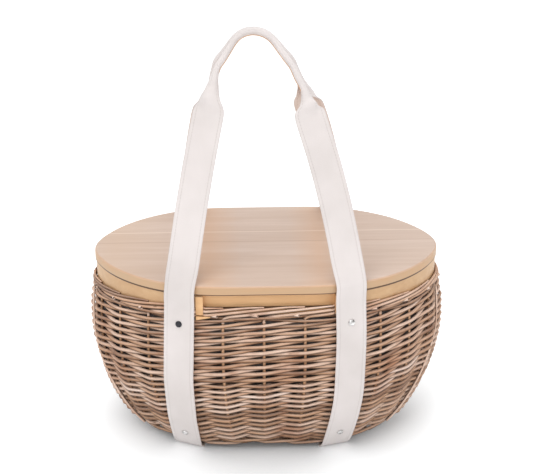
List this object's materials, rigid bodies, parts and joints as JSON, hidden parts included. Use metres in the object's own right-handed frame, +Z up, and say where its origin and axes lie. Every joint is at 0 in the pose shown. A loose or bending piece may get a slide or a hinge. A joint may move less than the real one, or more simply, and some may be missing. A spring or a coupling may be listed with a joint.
{
  "type": "wicker picnic basket",
  "caption": "Oval willow picnic basket with a grey liner, a hinged wooden lid with a finger recess in front, and webbing carry handles on riveted straps.",
  "frame": {"origin": "on the ground, under the middle of the basket", "axes": "+X along the length to the right, +Y from front to back (the hinges are at +Y), +Z up"},
  "size_m": [0.473, 0.309, 0.5496],
  "materials": {
    "willow": "weathered, unvarnished",
    "liner": "matt woven liner",
    "lid_wood": "satin lacquer",
    "rim_wood": "satin lacquer",
    "webbing": "matt cotton webbing",
    "rivet": "polished nickel",
    "brass": "satin",
    "steel": "zinc plated"
  },
  "bodies": {
    "basket": {"foot_border": "willow", "base_weave": "willow", "upsett_weave": "willow", "lower_weave": "willow", "upper_weave": "willow", "top_border": "willow", "stakes": "willow", "liner": "liner", "rim_band_left": "rim_wood", "rim_band_right": "rim_wood", "front_rail": "rim_wood", "hinge_frame_leaf_left": "brass", "hinge_frame_leaf_right": "brass", "hinge_pin_left": "brass", "hinge_pin_right": "brass", "hinge_frame_screws": "brass", "strap_left": "webbing", "strap_right": "webbing", "front_upper_rivets": "rivet", "front_lower_rivets": "rivet", "back_upper_rivets": "rivet", "back_lower_rivets": "rivet", "rivet_washers": "steel"},
    "lid": {"lid_board_front": "lid_wood", "lid_board_middle": "lid_wood", "lid_board_back": "lid_wood", "lid_batten_left": "rim_wood", "lid_batten_right": "rim_wood", "batten_screws": "steel", "hinge_lid_leaf_left": "brass", "hinge_lid_leaf_right": "brass", "hinge_lid_screws": "brass"},
    "front_handle": {"front_leg_left": "webbing", "front_leg_right": "webbing", "front_grip": "webbing"},
    "back_handle": {"back_leg_left": "webbing", "back_leg_right": "webbing", "back_grip": "webbing"}
  },
  "joints": [
    {"name": "lid_hinge", "type": "hinge", "parent": "basket", "child": "lid", "pos_m": [0, 0.1479, 0.2395], "axis": [-1, 0, 0], "range_deg": [0, 105]},
    {"name": "front_handle_swing", "type": "hinge", "parent": "basket", "child": "front_handle", "pos_m": [0, -0.143, 0.246], "axis": [1, 0, 0], "range_deg": [0, 155], "deforming": ["front_leg_left", "front_leg_right"]},
    {"name": "back_handle_swing", "type": "hinge", "parent": "basket", "child": "back_handle", "pos_m": [0, 0.143, 0.246], "axis": [-1, 0, 0], "range_deg": [0, 155], "deforming": ["back_leg_left", "back_leg_right"]}
  ],
  "couplings": [
    {"joint": "back_handle_swing", "follows": "lid_hinge", "ratio": 1.4762}
  ]
}
